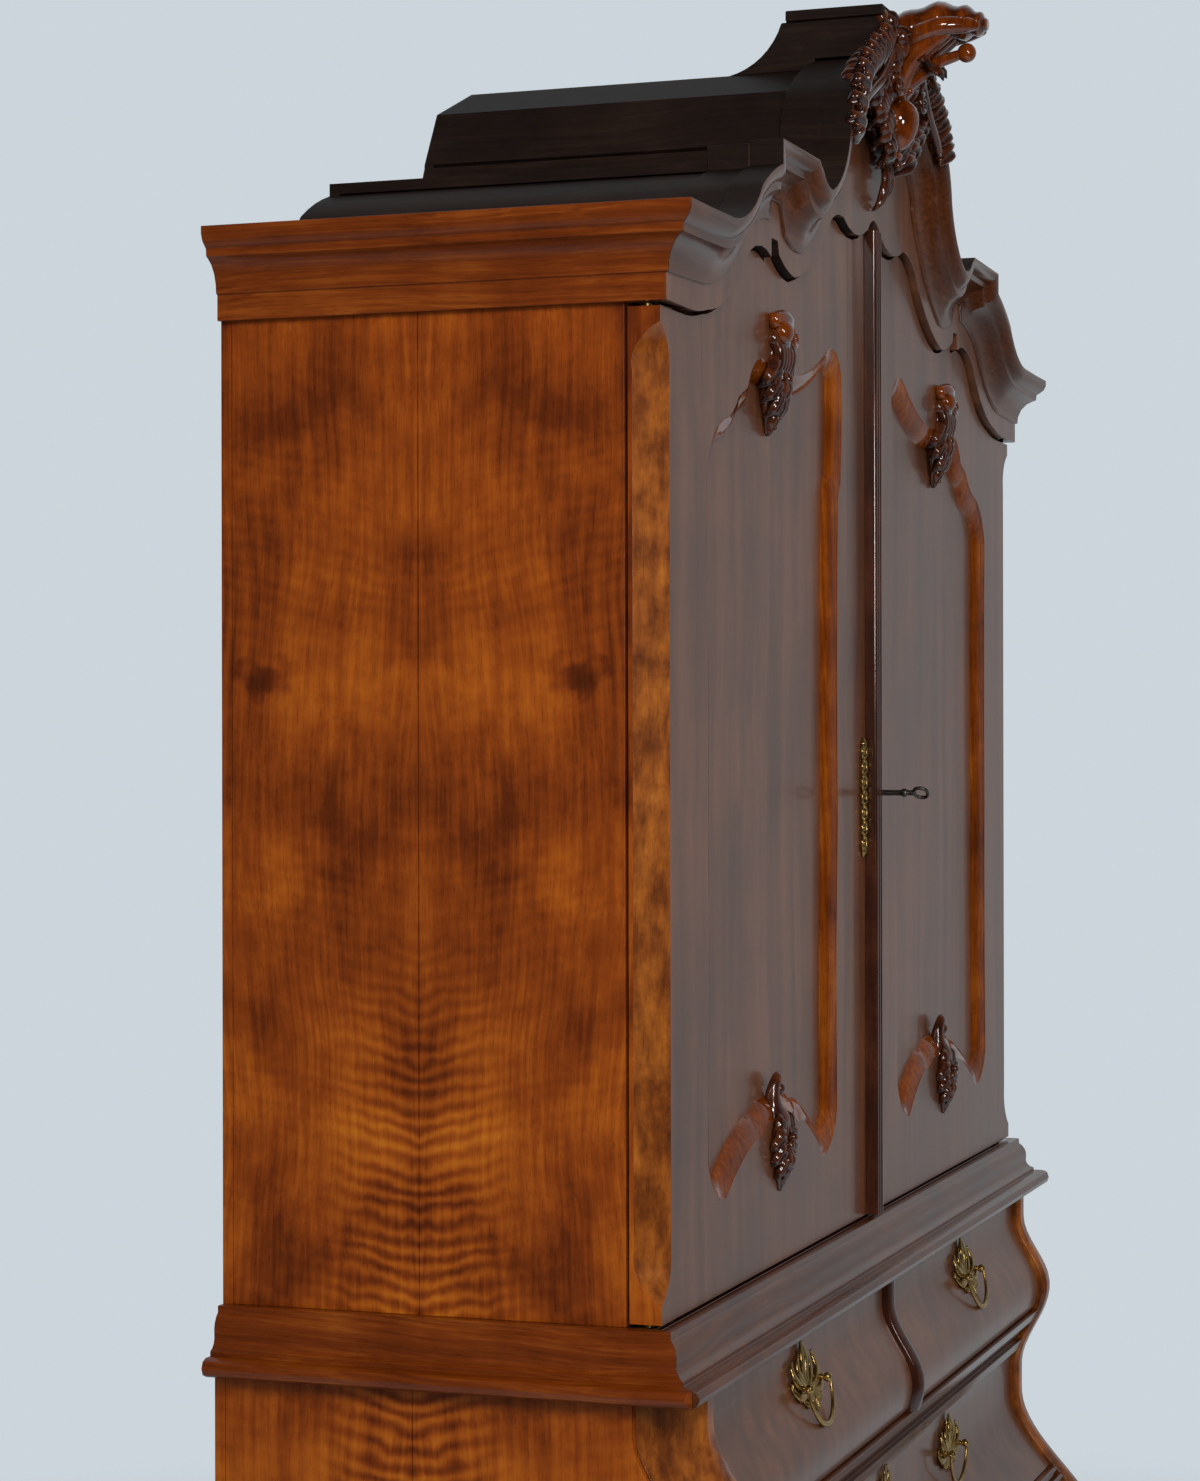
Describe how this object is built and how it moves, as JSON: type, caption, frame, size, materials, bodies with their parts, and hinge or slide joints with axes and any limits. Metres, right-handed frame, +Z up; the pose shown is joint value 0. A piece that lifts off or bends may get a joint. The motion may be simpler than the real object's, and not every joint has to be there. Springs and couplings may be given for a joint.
{
  "type": "linen press",
  "caption": "Tall walnut linen press: panelled doors under a scrolled cornice with a carved crest, standing on a bombé chest of drawers with brass handles and bun feet.",
  "frame": {"origin": "centre of the outline on the floor, under the middle of the whole piece", "axes": "+X to the viewer's right along the front, +Y towards the back, +Z up; the doors and drawers face -Y"},
  "size_m": [1.7698, 0.6466, 2.445],
  "materials": {
    "polished_walnut": "french polished",
    "figured_walnut": "french polished book-matched veneer",
    "carved_walnut": "polished carving",
    "stained_boards": "matt dark stain",
    "oak": "dry planed",
    "aged_brass": "aged, darkened in the hollows",
    "dark_steel": "darkened"
  },
  "bodies": {
    "case": {"lower_sides": "figured_walnut", "corner_posts": "figured_walnut", "lower_back": "stained_boards", "lower_top": "oak", "drawer_rails": "polished_walnut", "drawer_muntin": "polished_walnut", "dust_boards": "oak", "drawer_guides": "oak", "apron": "polished_walnut", "lower_bottom": "oak", "base_moulding": "polished_walnut", "feet": "polished_walnut", "waist_front": "polished_walnut", "waist_sides": "figured_walnut", "upper_sides": "figured_walnut", "upper_bottom": "oak", "upper_top": "oak", "upper_back": "stained_boards", "shelves": "oak", "shelf_cleats": "oak", "frieze": "polished_walnut", "tympanum": "oak", "cornice_front": "polished_walnut", "cornice_sides": "figured_walnut", "roof_boards": "stained_boards", "crest_block": "stained_boards", "crest_carving": "carved_walnut", "case_hinge_leaves": "aged_brass"},
    "left_door_body": {"left_door": "polished_walnut", "left_door_moulding": "polished_walnut", "left_door_carvings": "carved_walnut", "left_door_escutcheon": "aged_brass", "left_door_fittings": "aged_brass"},
    "right_door_body": {"right_door": "polished_walnut", "right_door_moulding": "polished_walnut", "right_door_carvings": "carved_walnut", "right_door_escutcheon": "aged_brass", "right_door_hinge_leaves": "aged_brass", "astragal": "polished_walnut", "lock_case": "dark_steel"},
    "bolt_body": {"lock_bolt": "dark_steel"},
    "key_body": {"door_key": "dark_steel"},
    "top_left_drawer": {"top_left_drawer_front": "polished_walnut", "top_left_drawer_box": "oak", "top_left_drawer_brasses": "aged_brass"},
    "top_right_drawer": {"top_right_drawer_front": "polished_walnut", "top_right_drawer_box": "oak", "top_right_drawer_brasses": "aged_brass"},
    "middle_drawer": {"middle_drawer_front": "polished_walnut", "middle_drawer_box": "oak", "middle_drawer_brasses": "aged_brass"},
    "bottom_drawer": {"bottom_drawer_front": "polished_walnut", "bottom_drawer_box": "oak", "bottom_drawer_brasses": "aged_brass"},
    "top_left_bail_body": {"top_left_bail": "aged_brass"},
    "top_right_bail_body": {"top_right_bail": "aged_brass"},
    "middle_left_bail_body": {"middle_left_bail": "aged_brass"},
    "middle_right_bail_body": {"middle_right_bail": "aged_brass"},
    "bottom_left_bail_body": {"bottom_left_bail": "aged_brass"},
    "bottom_right_bail_body": {"bottom_right_bail": "aged_brass"}
  },
  "joints": [
    {"name": "left_door_hinge", "type": "hinge", "parent": "case", "child": "left_door_body", "pos_m": [-0.822, -0.14869, 1.4505], "axis": [0, 0, -1], "range_deg": [0, 110]},
    {"name": "right_door_hinge", "type": "hinge", "parent": "case", "child": "right_door_body", "pos_m": [0.822, -0.14869, 1.4505], "axis": [0, 0, 1], "range_deg": [0, 110]},
    {"name": "key_turn", "type": "hinge", "parent": "right_door_body", "child": "key_body", "pos_m": [0.028, -0.16669, 1.46], "axis": [0, -1, 0], "range_deg": [0, 180]},
    {"name": "bolt_slide", "type": "slide", "parent": "right_door_body", "child": "bolt_body", "axis": [-1, 0, 0], "range_m": [0, 0.012]},
    {"name": "top_left_drawer_slide", "type": "slide", "parent": "case", "child": "top_left_drawer", "axis": [0, -1, 0], "range_m": [0, 0.33]},
    {"name": "top_right_drawer_slide", "type": "slide", "parent": "case", "child": "top_right_drawer", "axis": [0, -1, 0], "range_m": [0, 0.33]},
    {"name": "middle_drawer_slide", "type": "slide", "parent": "case", "child": "middle_drawer", "axis": [0, -1, 0], "range_m": [0, 0.33]},
    {"name": "bottom_drawer_slide", "type": "slide", "parent": "case", "child": "bottom_drawer", "axis": [0, -1, 0], "range_m": [0, 0.33]},
    {"name": "top_left_bail_swing", "type": "hinge", "parent": "top_left_drawer", "child": "top_left_bail_body", "pos_m": [-0.403, -0.21234, 0.799], "axis": [-1, 0, 0], "range_deg": [0, 80]},
    {"name": "top_right_bail_swing", "type": "hinge", "parent": "top_right_drawer", "child": "top_right_bail_body", "pos_m": [0.403, -0.21234, 0.799], "axis": [-1, 0, 0], "range_deg": [0, 80]},
    {"name": "middle_left_bail_swing", "type": "hinge", "parent": "middle_drawer", "child": "middle_left_bail_body", "pos_m": [-0.34, -0.20319, 0.571], "axis": [-1, 0, 0], "range_deg": [0, 80]},
    {"name": "middle_right_bail_swing", "type": "hinge", "parent": "middle_drawer", "child": "middle_right_bail_body", "pos_m": [0.34, -0.20319, 0.571], "axis": [-1, 0, 0], "range_deg": [0, 80]},
    {"name": "bottom_left_bail_swing", "type": "hinge", "parent": "bottom_drawer", "child": "bottom_left_bail_body", "pos_m": [-0.34, -0.31781, 0.389], "axis": [-1, 0, 0], "range_deg": [0, 80]},
    {"name": "bottom_right_bail_swing", "type": "hinge", "parent": "bottom_drawer", "child": "bottom_right_bail_body", "pos_m": [0.34, -0.31781, 0.389], "axis": [-1, 0, 0], "range_deg": [0, 80]}
  ],
  "couplings": [
    {"joint": "bolt_slide", "follows": "key_turn", "m_per_rad": 0.0038197}
  ]
}
